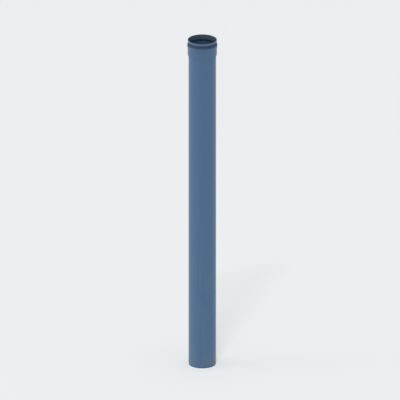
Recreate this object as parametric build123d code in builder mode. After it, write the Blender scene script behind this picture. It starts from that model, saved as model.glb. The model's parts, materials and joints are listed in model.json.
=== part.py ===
from build123d import *
from math import atan2, cos, sin, tan
import os

os.makedirs("parts", exist_ok=True)

# Polypropylene sewer pipe, outside diameter 125 and effective length 1500, in millimetres.
# It stands on its spigot end with the socket up, and its axis is Z.

# Plain pipe
pipe_outer_d = 125.0
pipe_wall = 3.9
effective_length = 1500.0

# Spigot end, chamfered at about 15 degrees so that it slips under the next pipe's seal
chamfer_length = 8.0
chamfer_depth = 2.1
spigot_edge_r = 0.4

# Socket barrel: the bore a spigot slides into, and the wall that widening leaves
socket_clearance = 0.6
socket_depth = 70.0
socket_wall = 3.8
socket_draft = 0.8

# Shoulder at the foot of the socket: a cone with the pipe's own wall
cone_length = 7.0
cone_blend_r = 5.0

# Thickened rim at the mouth, flared inside to guide a spigot in
rim_length = 9.5
rim_wall = 2.7
rim_step = 0.5
rim_edge_r = 1.0
flare = 0.7
flare_length = 3.0

# Neck between the rim and the bead
neck_length = 12.5
neck_clearance = 0.2
neck_wall = 2.1
neck_blend_r = 0.8

# Groove for the sealing ring, which shows outside as a bead
groove_width = 11.0
groove_depth = 2.9
groove_wall = 2.3
groove_slope = 1.2
groove_blend_r = 0.8
bead_top_slope = 2.2
bead_bottom_slope = 6.0
bead_blend_r = 2.0

# Sealing ring: a ribbed leg that seats in the groove, a heel towards the mouth, and a lip
# that points into the pipe, drawn pressed back as a spigot holds it
seat_gap = 0.05
side_gap = 0.5
ring_rib = 0.35
ring_rib_width = 1.5
ring_leg = 1.1
ring_slot = 0.6
ring_slot_length = 4.6
ring_lip = 0.8
ring_lip_gap = 0.35
ring_nose = 0.4

# Radii and heights that follow
pipe_r = pipe_outer_d / 2
bore_r = pipe_r - pipe_wall
socket_r = pipe_r + socket_clearance
barrel_r = socket_r + socket_wall
barrel_foot_r = barrel_r - socket_draft
neck_bore_r = socket_r + neck_clearance
neck_r = neck_bore_r + neck_wall
rim_r = neck_bore_r + rim_wall
groove_r = socket_r + groove_depth
bead_r = groove_r + groove_wall
shoulder_z = effective_length
mouth_z = effective_length + socket_depth
rim_z = mouth_z - rim_length
groove_top_z = rim_z - neck_length
groove_bottom_z = groove_top_z - groove_width
bead_top_z = groove_top_z - groove_slope
bead_bottom_z = groove_bottom_z + groove_slope
cone_angle = atan2(socket_r - bore_r, cone_length)


def cone_z(radius):
    """Height at which the outside of the shoulder has this radius, a wall away from its inside."""
    reach = socket_r + pipe_wall * cos(cone_angle) - radius
    return shoulder_z - pipe_wall * sin(cone_angle) - reach / tan(cone_angle)


# Pipe: its wall in section, turned about the axis
with BuildPart() as pipe:
    with BuildSketch(Plane.XZ):
        with BuildLine():
            outside = FilletPolyline(
                (pipe_r, 0),
                (pipe_r, cone_z(pipe_r)),
                (barrel_foot_r, cone_z(barrel_foot_r)),
                (barrel_r, bead_bottom_z - bead_bottom_slope),
                (bead_r, bead_bottom_z),
                (bead_r, bead_top_z),
                (neck_r, bead_top_z + bead_top_slope),
                (neck_r, rim_z),
                (rim_r, rim_z + rim_step),
                (rim_r, mouth_z),
                radius=(
                    cone_blend_r,
                    cone_blend_r / 2,
                    bead_blend_r * 2,
                    bead_blend_r,
                    bead_blend_r / 2,
                    neck_blend_r,
                    neck_blend_r,
                    0,
                ),
            )
            inside = FilletPolyline(
                (neck_bore_r + flare, mouth_z),
                (neck_bore_r, mouth_z - flare_length),
                (neck_bore_r, groove_top_z),
                (groove_r, bead_top_z),
                (groove_r, bead_bottom_z),
                (socket_r, groove_bottom_z),
                (socket_r, shoulder_z),
                (bore_r, shoulder_z - cone_length),
                (bore_r, 0),
                radius=(
                    flare_length / 2,
                    0,
                    groove_blend_r,
                    groove_blend_r,
                    0,
                    cone_blend_r / 2,
                    cone_blend_r,
                ),
            )
            Line(outside @ 1, inside @ 0)
            Line(inside @ 1, outside @ 0)
        make_face()
    revolve(axis=Axis.Z)

    # The cut end: a long chamfer outside, and its foot eased
    spigot_end = pipe.faces().sort_by(Axis.Z)[0]
    spigot_rim = spigot_end.edges().sort_by(SortBy.RADIUS)[-1]
    chamfer(spigot_rim, length=chamfer_depth, length2=chamfer_length, reference=spigot_end)
    chamfer_foot = pipe.faces().sort_by(Axis.Z)[0].edges().sort_by(SortBy.RADIUS)[-1]
    fillet(chamfer_foot, radius=spigot_edge_r)

    # The mouth: rounded more outside than inside
    mouth_edges = pipe.faces().sort_by(Axis.Z)[-1].edges().sort_by(SortBy.RADIUS)
    fillet(mouth_edges[-1], radius=rim_edge_r)
    mouth_edges = pipe.faces().sort_by(Axis.Z)[-1].edges().sort_by(SortBy.RADIUS)
    fillet(mouth_edges[0], radius=rim_edge_r / 2)

pipe.part.label = "pipe"
export_step(pipe.part, "parts/pipe.step")

# Sealing ring: its section, turned about the same axis
leg_r = groove_r - seat_gap
valley_r = leg_r - ring_rib
leg_inner_r = valley_r - ring_leg
lip_r = pipe_r + ring_lip_gap
ring_top_z = bead_top_z - side_gap
ring_bottom_z = bead_bottom_z + side_gap
heel_z = groove_top_z - side_gap
slot_z = ring_bottom_z + ring_slot_length

with BuildPart() as sealing_ring:
    with BuildSketch(Plane.XZ):
        with BuildLine():
            Polyline(
                (leg_r, ring_bottom_z),
                (leg_r, ring_bottom_z + ring_rib_width),
                (valley_r, ring_bottom_z + ring_rib_width + ring_rib),
                (valley_r, ring_top_z - ring_rib_width - ring_rib),
                (leg_r, ring_top_z - ring_rib_width),
                (leg_r, ring_top_z),
                (neck_bore_r, heel_z),
                (lip_r, ring_bottom_z),
                (lip_r + ring_lip, ring_bottom_z),
                (leg_inner_r - ring_slot, slot_z),
                (leg_inner_r, slot_z),
                (leg_inner_r, ring_bottom_z),
                close=True,
            )
        section = make_face()
        heel_nose = section.vertices().sort_by(Axis.Y)[-1]
        chamfer(heel_nose, length=ring_nose)
    revolve(axis=Axis.Z)

sealing_ring.part.label = "sealing_ring"
export_step(sealing_ring.part, "parts/sealing_ring.step")
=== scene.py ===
import json
import math
import bpy
from mathutils import Matrix, Vector


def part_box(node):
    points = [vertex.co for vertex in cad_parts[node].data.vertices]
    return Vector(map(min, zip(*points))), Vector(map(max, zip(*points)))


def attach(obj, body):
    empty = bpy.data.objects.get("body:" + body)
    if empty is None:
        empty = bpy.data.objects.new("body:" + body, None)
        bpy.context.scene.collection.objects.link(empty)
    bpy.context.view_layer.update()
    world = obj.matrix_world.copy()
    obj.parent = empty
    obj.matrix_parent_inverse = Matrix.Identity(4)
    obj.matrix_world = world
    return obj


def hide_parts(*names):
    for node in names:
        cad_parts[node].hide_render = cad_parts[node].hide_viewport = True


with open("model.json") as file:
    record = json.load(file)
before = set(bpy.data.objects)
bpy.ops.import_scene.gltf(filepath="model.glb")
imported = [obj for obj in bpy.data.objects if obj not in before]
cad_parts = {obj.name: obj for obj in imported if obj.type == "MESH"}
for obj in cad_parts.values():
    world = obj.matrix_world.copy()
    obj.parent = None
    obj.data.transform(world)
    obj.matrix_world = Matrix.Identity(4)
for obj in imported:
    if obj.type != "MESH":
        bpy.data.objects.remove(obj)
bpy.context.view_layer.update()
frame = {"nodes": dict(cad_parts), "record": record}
print("frame loaded")

mm = 0.001
nodes = frame["nodes"]
mounts = {m["name"]: m for m in frame["record"]["mounts"]}
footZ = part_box("pipe")[0].z
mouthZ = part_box("pipe")[1].z
spigotR = mounts["spigot"]["dims"]["r_mm"] * mm   # outside of the plain pipe
socketR = mounts["socket"]["dims"]["r_mm"] * mm   # bore that the next spigot slides into
boreR = mounts["pipe_bore"]["dims"]["r_mm"] * mm
pipeWall = spigotR - boreR


# Turned shapes: a section in radius and height, its corners rounded, swept round the axis

turning = {
    "segments": 240,       # round the axis
    "arcStep": 15,         # degrees between points of a rounded corner
    "leastTurn": 1.2,      # degrees, under which a corner isn't rounded
    "support": 0.35 * mm,  # a straight run gets a point this far from each end, to keep it flat
    "shortRun": 1.4 * mm,  # and a run under this gets none
    "longStep": 24 * mm,   # the steps of a straight run are no longer than this
    "sharpEdge": 35,       # degrees, past which an edge is shaded sharp
}


def roundedSection(corners):
    # corners are (radius, height, rounding), in order round the closed section
    points = []
    for i, (radius, height, rounding) in enumerate(corners):
        here = Vector((radius, height))
        before = Vector(corners[i - 1][:2])
        after = Vector(corners[(i + 1) % len(corners)][:2])
        back = (before - here).normalized()
        ahead = (after - here).normalized()
        turn = math.pi - back.angle(ahead)
        if rounding <= 0 or turn < math.radians(turning["leastTurn"]):
            points.append(here)
            continue
        reach = rounding * math.tan(turn / 2)
        start, end = here + back * reach, here + ahead * reach
        centre = here + (back + ahead).normalized() * (rounding / math.cos(turn / 2))
        outward = (here - centre).normalized()
        onward = (end - start).normalized()
        steps = max(2, math.ceil(math.degrees(turn) / turning["arcStep"]))
        for k in range(steps + 1):
            a = turn * (k / steps - 0.5)
            points.append(centre + (outward * math.cos(a) + onward * math.sin(a)) * rounding)
    return points


def withSupport(points):
    # long straight runs get points near their ends and at regular steps between
    full = []
    for i, here in enumerate(points):
        after = points[(i + 1) % len(points)]
        full.append(here)
        run = (after - here).length
        if run < turning["shortRun"]:
            continue
        step = (after - here).normalized()
        near, far = turning["support"], run - turning["support"]
        pieces = max(1, math.ceil((far - near) / turning["longStep"]))
        full += [here + step * (near + (far - near) * k / pieces) for k in range(pieces + 1)]
    return full


def turnedMesh(name, corners):
    section = withSupport(roundedSection(corners))
    count, segments = len(section), turning["segments"]
    places, faces = [], []
    for s in range(segments):
        a = 2 * math.pi * s / segments
        places += [(p.x * math.cos(a), p.x * math.sin(a), p.y) for p in section]
    for s in range(segments):
        here, after = s * count, (s + 1) % segments * count
        for k in range(count):
            n = (k + 1) % count
            faces.append((here + k, after + k, after + n, here + n))
    mesh = bpy.data.meshes.new(name)
    mesh.from_pydata(places, [], faces)
    mesh.polygons.foreach_set("use_smooth", [True] * len(faces))
    mesh.update()
    mesh.set_sharp_from_angle(angle=math.radians(turning["sharpEdge"]))
    piece = bpy.data.objects.new(name, mesh)
    bpy.context.scene.collection.objects.link(piece)
    return piece


def inMetres(sizes):
    return {name: size * mm for name, size in sizes.items()}


# The pipe, mouth upwards

pipeShape = {   # millimetres
    "chamferLength": 8.0, "chamferDepth": 2.1, "chamferBlend": 1.6, "cutEdge": 0.4,
    "socketDepth": 70.0, "socketWall": 3.8, "socketDraft": 0.8,
    "coneLength": 7.0, "coneBlend": 5.0,
    "rimLength": 9.5, "rimWall": 2.7, "rimStep": 0.5, "rimEdge": 1.0,
    "flare": 0.7, "flareLength": 3.0,
    "neckLength": 12.5, "neckClearance": 0.2, "neckWall": 2.1, "neckBlend": 0.8,
    "grooveWidth": 11.0, "grooveDepth": 2.9, "grooveWall": 2.3,
    "grooveSlope": 1.2, "grooveBlend": 0.8, "cornerEase": 0.25,
    "beadTopSlope": 2.2, "beadBottomSlope": 6.0, "beadBlend": 2.0,
}
p = inMetres(pipeShape)
barrelR = socketR + p["socketWall"]
barrelFootR = barrelR - p["socketDraft"]
neckBoreR = socketR + p["neckClearance"]
neckR = neckBoreR + p["neckWall"]
rimR = neckBoreR + p["rimWall"]
grooveR = socketR + p["grooveDepth"]
beadR = grooveR + p["grooveWall"]
shoulderZ = mouthZ - p["socketDepth"]
rimZ = mouthZ - p["rimLength"]
grooveTopZ = rimZ - p["neckLength"]
grooveBottomZ = grooveTopZ - p["grooveWidth"]
beadTopZ = grooveTopZ - p["grooveSlope"]
beadBottomZ = grooveBottomZ + p["grooveSlope"]
barrelTopZ = beadBottomZ - p["beadBottomSlope"]
coneAngle = math.atan2(socketR - boreR, p["coneLength"])


def coneZ(radius):
    # height at which the outside of the shoulder has this radius
    reach = socketR + pipeWall * math.cos(coneAngle) - radius
    return shoulderZ - pipeWall * math.sin(coneAngle) - reach / math.tan(coneAngle)


coneBottomZ = coneZ(spigotR)
coneTopZ = coneZ(barrelFootR)
pipeSection = [
    (spigotR - p["chamferDepth"], footZ, p["cutEdge"]),
    (spigotR, footZ + p["chamferLength"], p["chamferBlend"]),
    (spigotR, coneBottomZ, p["coneBlend"]),
    (barrelFootR, coneTopZ, p["coneBlend"] / 2),
    (barrelR, barrelTopZ, p["beadBlend"] * 2),
    (beadR, beadBottomZ, p["beadBlend"]),
    (beadR, beadTopZ, p["beadBlend"] / 2),
    (neckR, beadTopZ + p["beadTopSlope"], p["neckBlend"]),
    (neckR, rimZ, p["neckBlend"]),
    (rimR, rimZ + p["rimStep"], p["cornerEase"]),
    (rimR, mouthZ, p["rimEdge"]),
    (neckBoreR + p["flare"], mouthZ, p["rimEdge"] / 2),
    (neckBoreR, mouthZ - p["flareLength"], p["flareLength"] / 2),
    (neckBoreR, grooveTopZ, p["cornerEase"]),
    (grooveR, beadTopZ, p["grooveBlend"]),
    (grooveR, beadBottomZ, p["grooveBlend"]),
    (socketR, grooveBottomZ, p["cornerEase"]),
    (socketR, shoulderZ, p["coneBlend"] / 2),
    (boreR, shoulderZ - p["coneLength"], p["coneBlend"]),
    (boreR, footZ, p["cornerEase"]),
]
pipe = turnedMesh("sewerPipe", pipeSection)
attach(pipe, "root")
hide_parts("pipe")
print("pipe turned:", len(pipe.data.polygons), "faces")


# The sealing ring in its groove: a ribbed leg, a heel towards the mouth and a lip pressed back

ringShape = {   # millimetres
    "seatGap": 0.05, "sideGap": 0.5,
    "rib": 0.35, "ribWidth": 1.5, "leg": 1.1,
    "slot": 0.6, "slotLength": 4.6,
    "lip": 0.8, "lipGap": 0.35,
    "edge": 0.22, "nose": 0.5,
}
r = inMetres(ringShape)
legR = grooveR - r["seatGap"]
valleyR = legR - r["rib"]
legInnerR = valleyR - r["leg"]
lipR = spigotR + r["lipGap"]
ringTopZ = beadTopZ - r["sideGap"]
ringBottomZ = beadBottomZ + r["sideGap"]
slotZ = ringBottomZ + r["slotLength"]
ringSection = [
    (legR, ringBottomZ, r["edge"]),
    (legR, ringBottomZ + r["ribWidth"], 0),
    (valleyR, ringBottomZ + r["ribWidth"] + r["rib"], 0),
    (valleyR, ringTopZ - r["ribWidth"] - r["rib"], 0),
    (legR, ringTopZ - r["ribWidth"], 0),
    (legR, ringTopZ, r["edge"]),
    (neckBoreR, grooveTopZ - r["sideGap"], r["nose"]),
    (lipR, ringBottomZ, r["edge"]),
    (lipR + r["lip"], ringBottomZ, r["edge"]),
    (legInnerR - r["slot"], slotZ, r["edge"]),
    (legInnerR, slotZ, r["edge"]),
    (legInnerR, ringBottomZ, r["edge"]),
]
ring = turnedMesh("sealingRing", ringSection)
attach(ring, "root")
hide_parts("sealing_ring")
print("ring turned:", len(ring.data.polygons), "faces")


# Finishes

class Shader:
    # a material whose nodes are added one call at a time; an input is a plain value or another's output
    def __init__(self, name):
        self.material = bpy.data.materials.new(name)
        self.material.use_nodes = True
        self.tree = self.material.node_tree
        self.surface = self.tree.nodes["Principled BSDF"]

    def plug(self, socket, value):
        if isinstance(value, bpy.types.NodeSocket):
            self.tree.links.new(value, socket)
        else:
            socket.default_value = value

    def node(self, kind, inputs=None, **settings):
        made = self.tree.nodes.new(kind)
        for name, value in settings.items():
            setattr(made, name, value)
        for name, value in (inputs or {}).items():
            self.plug(made.inputs[name], value)
        return made

    def math(self, operation, a, b=0.0, c=0.0):
        return self.node("ShaderNodeMath", {0: a, 1: b, 2: c}, operation=operation).outputs[0]

    def product(self, total, *others):
        for other in others:
            total = self.math("MULTIPLY", total, other)
        return total

    def plus(self, total, value, amount):
        # adds so much of the value to the total
        return self.math("MULTIPLY_ADD", value, amount, total)

    def band(self, value, low, high, start=0.0, end=1.0):
        # goes smoothly from start to end as value goes from low to high
        inputs = {"Value": value, "From Min": low, "From Max": high, "To Min": start, "To Max": end}
        return self.node("ShaderNodeMapRange", inputs, interpolation_type="SMOOTHSTEP").outputs[0]

    def coat(self, colour, tint, *shares):
        # lays a tint over the colour, as thick as the product of its masks and amounts
        inputs = {"Factor": self.product(*shares), 6: colour, 7: tint}   # 6 and 7 are the two colours
        return self.node("ShaderNodeMix", inputs, data_type="RGBA").outputs[2]

    def noise(self, place, scale, detail, roughness=0.55, squeeze=None):
        if squeeze:
            place = self.node("ShaderNodeVectorMath", {0: place, 1: squeeze}, operation="MULTIPLY").outputs[0]
        inputs = {"Vector": place, "Scale": scale, "Detail": detail, "Roughness": roughness}
        return self.node("ShaderNodeTexNoise", inputs).outputs["Fac"]

    def bump(self, height, strength, depth):
        inputs = {"Strength": strength, "Distance": depth, "Height": height}
        self.plug(self.surface.inputs["Normal"], self.node("ShaderNodeBump", inputs).outputs[0])


plastic = {
    "tints": {
        "body": (0.0418, 0.110, 0.2125, 1),
        "pale": (0.0645, 0.1335, 0.235, 1),      # a paler tone, laid in random patches and more towards the foot
        "stretchedAndPaintedLight": (0.056, 0.133, 0.258, 1),   # the shoulder: paler where the socket was drawn out of the pipe, and painted light against the shade of its downward-facing cone
        "inside": (0.049, 0.107, 0.190, 1),
        "mouth": (0.058, 0.097, 0.148, 1),       # inside the mouth, dustier
        "paintedNeckShade": (0.003, 0.028, 0.069, 1),     # painted shade in the neck between rim and bead
        "rim": (0.058, 0.111, 0.182, 1),         # a greyer tone on the rim
        "barrel": (0.052, 0.100, 0.172, 1),      # the socket from the shoulder to the bead, a darker, greyer tone
        "cut": (0.0415, 0.096, 0.162, 1),        # the chamfer and the cut end: the cut's own tone, darkened as painted shade where the chamfer faces down
        "dust": (0.14, 0.155, 0.165, 1),         # round the foot, and in specks
        "worn": (0.20, 0.25, 0.31, 1),           # rubbed edges, scratches and tool marks
    },
    "amounts": {     # how much of a tint is laid on, from 0 to 1
        "paleAtFoot": 0.60, "paleAtMouth": 0.15, "stretchedAndPaintedLight": 0.6, "rim": 0.8, "barrel": 0.5,
        "footDust": 0.24, "rubbed": 0.6, "rubbedBead": 0.35, "cut": 0.85, "toolRings": 0.15,
        "scratches": 0.45, "specks": 0.45,
    },
    "reach": {       # millimetres
        "belowCone": 6, "aboveCone": 5, "coneEdge": 1,   # the stretched band round the shoulder
        "throughNeck": 0.4,   # depth into the neck's wall at which its inside tint begins
        "underRim": 0.2,      # softness of the line under the rim
        "paintedNeckShade": 17,        # the painted shade clears this far below the neck's middle, over the bead
        "barrel": 12,         # the barrel's tint comes in this far above the cone
        "footDust": 120,
        "beadCrest": 0.25, "rimSide": 0.5, "rimTop": 1.5,   # depths to which edges are rubbed
        "cutEdge": 0.5,
    },
    "noises": {      # squeeze is how a noise is drawn out: a small number makes it long that way
        "cloud": {"scale": 22, "detail": 4, "squeeze": (1, 1, 0.35)},
        "streak": {"scale": 260, "detail": 2, "squeeze": (1, 1, 0.012)},       # left by extrusion
        "fineStreak": {"scale": 900, "detail": 2, "squeeze": (1, 1, 0.02)},
        "grain": {"scale": 1400, "detail": 3, "roughness": 0.6},
        "rubbed": {"scale": 180, "detail": 5, "roughness": 0.7},
        "toolRings": {"scale": 2600, "detail": 2, "roughness": 0.7, "squeeze": (0.03, 0.03, 1)},
        "down": {"scale": 900, "detail": 4, "roughness": 0.7, "squeeze": (1, 1, 0.05)},
        "downPatches": {"scale": 14, "detail": 2},
        "slant": {"scale": 900, "detail": 3, "roughness": 0.7, "squeeze": (0.05, 0.05, 1)},
        "slantPatches": {"scale": 26, "detail": 3},
    },
    "cuts": {        # the part of a noise's range over which its mark comes in
        "tone": (0.36, 0.64), "footDust": (0.2, 0.6), "rubbed": (0.5, 0.72),
        "down": (0.62, 0.68), "downPatches": (0.42, 0.62),
        "slant": (0.66, 0.70), "slantPatches": (0.52, 0.62),
        "specks": (0.12, 0.07), "speckPatches": (0.46, 0.58),
    },
    "inWall": (0.6, 0.4),  # shares of the wall, from the bore, between which the inside tint comes in
    "streakShare": 0.55,   # of the tone, the rest being cloud
    "slantTurn": 0.7,      # radians
    "speckScale": 300,
    "roughness": 0.30, "roughSpread": 0.10,
    "duller": {"paintedNeckShade": 0.45, "stretchedAndPaintedLight": 0.3, "scratched": 0.2, "cutOrDusty": 0.25},
    "relief": {"grain": 0.4, "fineStreak": 0.7, "streak": 2.0, "toolRings": 4.0},
    "reliefStrength": 0.6, "reliefDepth": 0.02 * mm,
}


def makePlastic():
    tints, amounts, cuts, noises = (plastic[name] for name in ("tints", "amounts", "cuts", "noises"))
    reach = inMetres(plastic["reach"])
    s = Shader("pipePlastic")
    place = s.node("ShaderNodeTexCoord").outputs["Object"]
    x, y, z = s.node("ShaderNodeSeparateXYZ", {0: place}).outputs
    radius = s.math("SQRT", s.math("ADD", s.product(x, x), s.product(y, y)))

    # cloudy variation, and the faint streaks that extrusion leaves along the pipe
    cloud = s.noise(place, **noises["cloud"])
    streak = s.noise(place, **noises["streak"])
    fineStreak = s.noise(place, **noises["fineStreak"])
    streakShare = plastic["streakShare"]
    tone = s.band(s.plus(s.product(cloud, 1 - streakShare), streak, streakShare), *cuts["tone"])
    # paler towards the foot than at the mouth
    paleness = s.band(z, footZ, mouthZ, amounts["paleAtFoot"], amounts["paleAtMouth"])
    colour = s.coat(tints["body"], tints["pale"], tone, paleness)

    # paler on the shoulder: stretched plastic, and painted light against the shade of its downward-facing
    # cone
    low = s.band(z, coneBottomZ - reach["belowCone"], coneBottomZ + reach["coneEdge"])
    high = s.band(z, coneTopZ + reach["aboveCone"], coneTopZ - reach["coneEdge"])
    stretchedAndPaintedLight = s.product(low, high)
    colour = s.coat(colour, tints["stretchedAndPaintedLight"], stretchedAndPaintedLight, amounts["stretchedAndPaintedLight"])

    # inside the bore and the socket
    inBore = s.band(radius, *(boreR + share * pipeWall for share in plastic["inWall"]))
    aboveCone = s.band(z, shoulderZ - 2 * p["coneLength"], shoulderZ)
    inSocket = s.band(radius, neckR - reach["throughNeck"], neckR - 2 * reach["throughNeck"])
    inside = s.math("MAXIMUM", inBore, s.product(aboveCone, inSocket))
    outside = s.math("SUBTRACT", 1.0, inside)
    nearMouth = s.band(z, grooveBottomZ, grooveTopZ)
    colour = s.coat(colour, s.coat(tints["inside"], tints["mouth"], nearMouth), inside)

    # painted shade in the neck, darkest under the rim and clearing over the bead
    underRim = s.band(z, rimZ + p["rimStep"], rimZ + reach["underRim"])
    darkZ = rimZ - p["neckLength"] / 2
    paintedNeckShadeMask = s.product(underRim, s.band(z, darkZ - reach["paintedNeckShade"], darkZ), outside)
    colour = s.coat(colour, tints["paintedNeckShade"], paintedNeckShadeMask)

    # greyer tones on the rim and the barrel of the socket, and dust that clings round the foot
    rim = s.product(s.band(z, rimZ - reach["underRim"], rimZ + p["rimStep"]), outside)
    colour = s.coat(colour, tints["rim"], rim, amounts["rim"])
    underBead = s.band(z, beadBottomZ, barrelTopZ)
    barrel = s.product(underBead, s.band(z, coneTopZ, coneTopZ + reach["barrel"]), outside)
    colour = s.coat(colour, tints["barrel"], barrel, amounts["barrel"])
    foot = s.product(s.band(z, footZ + reach["footDust"], footZ), s.band(cloud, *cuts["footDust"]))
    colour = s.coat(colour, tints["dust"], foot, amounts["footDust"])

    # rubbed edges: the rim and the crest of the bead
    crest = s.product(s.band(radius, beadR - reach["beadCrest"], beadR), amounts["rubbedBead"])
    rimSide = s.band(radius, rimR - reach["rimSide"], rimR)
    rimEdge = s.product(rimSide, s.band(z, mouthZ - reach["rimTop"], mouthZ))
    rubbed = s.band(s.noise(place, **noises["rubbed"]), *cuts["rubbed"])
    worn = s.product(rubbed, s.math("MAXIMUM", crest, rimEdge))
    colour = s.coat(colour, tints["worn"], worn, amounts["rubbed"])

    # tool marks round the chamfer and the cut end, and the chamfer darkened as painted shade
    cutTopZ = footZ + p["chamferLength"]
    cut = s.band(z, cutTopZ + reach["cutEdge"], cutTopZ - reach["cutEdge"])
    toolMarks = s.product(cut, s.noise(place, **noises["toolRings"]))
    colour = s.coat(colour, tints["cut"], cut, amounts["cut"])
    colour = s.coat(colour, tints["worn"], toolMarks, amounts["toolRings"])

    # scratches from handling: fine ones down the body, and a few that run round it at a slant
    down = s.band(s.noise(place, **noises["down"]), *cuts["down"])
    down = s.product(down, s.band(s.noise(place, **noises["downPatches"]), *cuts["downPatches"]))
    turn = {"Vector": place, "Angle": plastic["slantTurn"]}
    turned = s.node("ShaderNodeVectorRotate", turn, rotation_type="X_AXIS").outputs[0]
    slant = s.band(s.noise(turned, **noises["slant"]), *cuts["slant"])
    slant = s.product(slant, s.band(s.noise(place, **noises["slantPatches"]), *cuts["slantPatches"]))
    scratch = s.product(s.math("MAXIMUM", down, slant), outside)
    colour = s.coat(colour, tints["worn"], scratch, amounts["scratches"])

    # dust specks
    cells = s.node("ShaderNodeTexVoronoi", {"Vector": place, "Scale": plastic["speckScale"]})
    speck = s.band(cells.outputs["Distance"], *cuts["specks"])
    speck = s.product(speck, s.band(cloud, *cuts["speckPatches"]))
    colour = s.coat(colour, tints["dust"], speck, amounts["specks"])
    s.plug(s.surface.inputs["Base Color"], colour)

    # gloss
    duller = plastic["duller"]
    rough = s.plus(plastic["roughness"] - plastic["roughSpread"] / 2, cloud, plastic["roughSpread"])
    rough = s.plus(rough, paintedNeckShadeMask, duller["paintedNeckShade"])
    rough = s.plus(rough, stretchedAndPaintedLight, duller["stretchedAndPaintedLight"])
    rough = s.plus(rough, s.math("MAXIMUM", scratch, worn), duller["scratched"])
    rough = s.plus(rough, s.math("MAXIMUM", cut, speck), duller["cutOrDusty"])
    s.plug(s.surface.inputs["Roughness"], s.math("MINIMUM", rough, 1.0))

    # relief
    relief = plastic["relief"]
    height = s.product(s.noise(place, **noises["grain"]), relief["grain"])
    height = s.plus(height, fineStreak, relief["fineStreak"])
    height = s.plus(height, streak, relief["streak"])
    height = s.math("SUBTRACT", height, scratch)
    height = s.plus(height, toolMarks, relief["toolRings"])
    s.bump(height, plastic["reliefStrength"], plastic["reliefDepth"])
    return s.material


rubber = {
    # black rubber, tinted blue as a painted reflection of the blue pipe around it
    "colour": (0.006, 0.026, 0.052, 1),
    "bloomAndPaintedReflection": (0.020, 0.046, 0.076, 1),     # the pale film that comes up on stored rubber, tinted blue as a painted reflection
    "bloomNoise": {"scale": 90, "detail": 5, "roughness": 0.65},
    "bloomCut": (0.45, 0.75),
    "roughness": 0.5, "bloomRough": 0.2,
    "grain": {"scale": 2200, "detail": 4, "roughness": 0.7},
    "reliefStrength": 0.4, "reliefDepth": 0.03 * mm,
}


def makeRubber():
    s = Shader("sealRubber")
    place = s.node("ShaderNodeTexCoord").outputs["Object"]
    # patches of pale film; the blue in both rubber tones is a painted reflection
    bloomAndPaintedReflection = s.band(s.noise(place, **rubber["bloomNoise"]), *rubber["bloomCut"])
    s.plug(s.surface.inputs["Base Color"], s.coat(rubber["colour"], rubber["bloomAndPaintedReflection"], bloomAndPaintedReflection))
    s.plug(s.surface.inputs["Roughness"], s.plus(rubber["roughness"], bloomAndPaintedReflection, rubber["bloomRough"]))
    s.bump(s.noise(place, **rubber["grain"]), rubber["reliefStrength"], rubber["reliefDepth"])
    return s.material


pipe.data.materials.append(makePlastic())
ring.data.materials.append(makeRubber())
nodes["pipe"].data.materials[0] = pipe.data.materials[0]
nodes["sealing_ring"].data.materials[0] = ring.data.materials[0]
print("finishes made")


# Studio: floor, sky, lamps and camera

studio = {
    "paper": (0.825, 0.840, 0.856, 1),   # the floor, and what shows past it
    "paperRough": 0.9,
    "floorHalf": 40.0,                   # metres
    "floorGlow": 0.5,                    # share of the floor that is lit from below, as a light table is
    "skyColour": (1, 1, 1, 1),
    "skyLight": 0.735,
    # a strip of light up in front, between two bearings as (azimuth, elevation) from the mouth
    "stripFrom": (0, 56.5), "stripTo": (16.4, 49.5), "stripDepth": 2.5, "stripDistance": 60.0,
    "stripPower": 11200,
    # low soft lights from the left and the right, in degrees
    "left": {"power": 1.0, "softness": 30, "azimuth": 89, "elevation": 12},
    "right": {"power": 0.10, "softness": 30, "azimuth": -62, "elevation": 12},
}
view = {
    "frame": 400,                # pixels each way
    "pipeWidth": 27.6,           # pixels across the plain pipe
    "mouthAt": (202.30, 39.40),  # pixel at which the middle of the mouth falls
    "elevation": 20.7,           # degrees
    "distance": 8.0,             # metres
    "farthest": 100,             # metres that the camera sees
}


def bearing(azimuth, elevation):
    # the way light travels from a lamp at this height that throws its shadow this far round to the right
    a, e = math.radians(azimuth), math.radians(elevation)
    return Vector((math.sin(a) * math.cos(e), math.cos(a) * math.cos(e), -math.sin(e)))


def makeFloor():
    # pale paper that takes shadows, mixed with its own glow where it is looked at
    h = studio["floorHalf"]
    mesh = bpy.data.meshes.new("floor")
    mesh.from_pydata([(-h, -h, footZ), (h, -h, footZ), (h, h, footZ), (-h, h, footZ)], [], [(0, 1, 2, 3)])
    floor = bpy.data.objects.new("floor", mesh)
    bpy.context.scene.collection.objects.link(floor)
    s = Shader("floorPaper")
    s.surface.inputs["Base Color"].default_value = studio["paper"]
    s.surface.inputs["Roughness"].default_value = studio["paperRough"]
    s.surface.inputs["Specular IOR Level"].default_value = 0.0
    glow = s.node("ShaderNodeEmission", {"Color": studio["paper"]})
    paths = s.node("ShaderNodeLightPath").outputs
    share = s.product(s.math("MAXIMUM", paths["Is Camera Ray"], paths["Is Glossy Ray"]), studio["floorGlow"])
    mixer = s.node("ShaderNodeMixShader", {0: share, 1: s.surface.outputs[0], 2: glow.outputs[0]})
    s.plug(s.tree.nodes["Material Output"].inputs["Surface"], mixer.outputs[0])
    mesh.materials.append(s.material)


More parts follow.
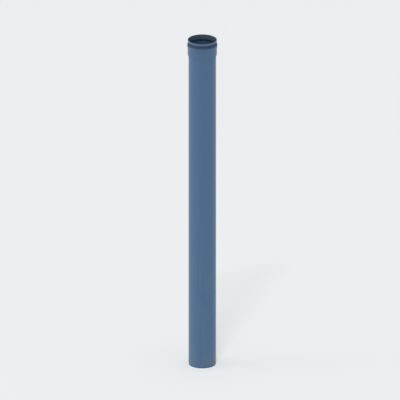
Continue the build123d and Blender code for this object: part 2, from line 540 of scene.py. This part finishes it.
def makeSky():
    # white where it lights the pipe, and like the paper where it is seen past the floor
    world = bpy.data.worlds.new("studioWorld")
    bpy.context.scene.world = world
    world.use_nodes = True
    tree = world.node_tree
    light = tree.nodes["Background"]
    light.inputs["Color"].default_value = studio["skyColour"]
    light.inputs["Strength"].default_value = studio["skyLight"]
    seen = tree.nodes.new("ShaderNodeBackground")
    seen.inputs["Color"].default_value = studio["paper"]
    paths = tree.nodes.new("ShaderNodeLightPath")
    mixer = tree.nodes.new("ShaderNodeMixShader")
    tree.links.new(paths.outputs["Is Camera Ray"], mixer.inputs[0])
    tree.links.new(light.outputs[0], mixer.inputs[1])
    tree.links.new(seen.outputs[0], mixer.inputs[2])
    tree.links.new(mixer.outputs[0], tree.nodes["World Output"].inputs["Surface"])


def addLamp(name, kind, power):
    lamp = bpy.data.lights.new(name, kind)
    lamp.energy = power
    made = bpy.data.objects.new(name, lamp)
    bpy.context.scene.collection.objects.link(made)
    made.rotation_mode = "QUATERNION"
    return made


def makeLamps():
    top = Vector((0, 0, mouthZ))
    ends = [top - bearing(*studio[end]) * studio["stripDistance"] for end in ("stripFrom", "stripTo")]
    lamp = addLamp("stripLight", "AREA", studio["stripPower"])
    lamp.data.shape = "RECTANGLE"
    lamp.data.size = (ends[1] - ends[0]).length
    lamp.data.size_y = studio["stripDepth"]
    lamp.location = (ends[0] + ends[1]) / 2
    along = (ends[1] - ends[0]).normalized()
    outward = (lamp.location - top).normalized()
    across = outward.cross(along).normalized()
    lamp.rotation_quaternion = Matrix((across.cross(outward), across, outward)).transposed().to_quaternion()

    for name in ("left", "right"):
        soft = studio[name]
        side = addLamp(name + "Light", "SUN", soft["power"])
        side.data.angle = math.radians(soft["softness"])
        side.rotation_quaternion = bearing(soft["azimuth"], soft["elevation"]).to_track_quat("-Z", "Y")


def makeCamera():
    pixel = 2 * spigotR / view["pipeWidth"]     # metres in one pixel
    e = math.radians(view["elevation"])
    back = Vector((0, -math.cos(e), math.sin(e)))
    up = Vector((0, math.sin(e), math.cos(e)))
    right = Vector((1, 0, 0))
    middle = view["frame"] / 2
    across, down = view["mouthAt"]
    aim = Vector((0, 0, mouthZ)) + right * (middle - across) * pixel + up * (down - middle) * pixel
    lens = bpy.data.cameras.new("camera")
    lens.type = "ORTHO"
    lens.ortho_scale = view["frame"] * pixel
    lens.clip_end = view["farthest"]
    camera = bpy.data.objects.new("camera", lens)
    bpy.context.scene.collection.objects.link(camera)
    camera.location = aim + back * view["distance"]
    camera.rotation_mode = "QUATERNION"
    camera.rotation_quaternion = (-back).to_track_quat("-Z", "Y")
    bpy.context.scene.camera = camera


makeFloor()
makeSky()
makeLamps()
makeCamera()
bpy.context.scene.view_settings.view_transform = "Standard"
print("studio set")
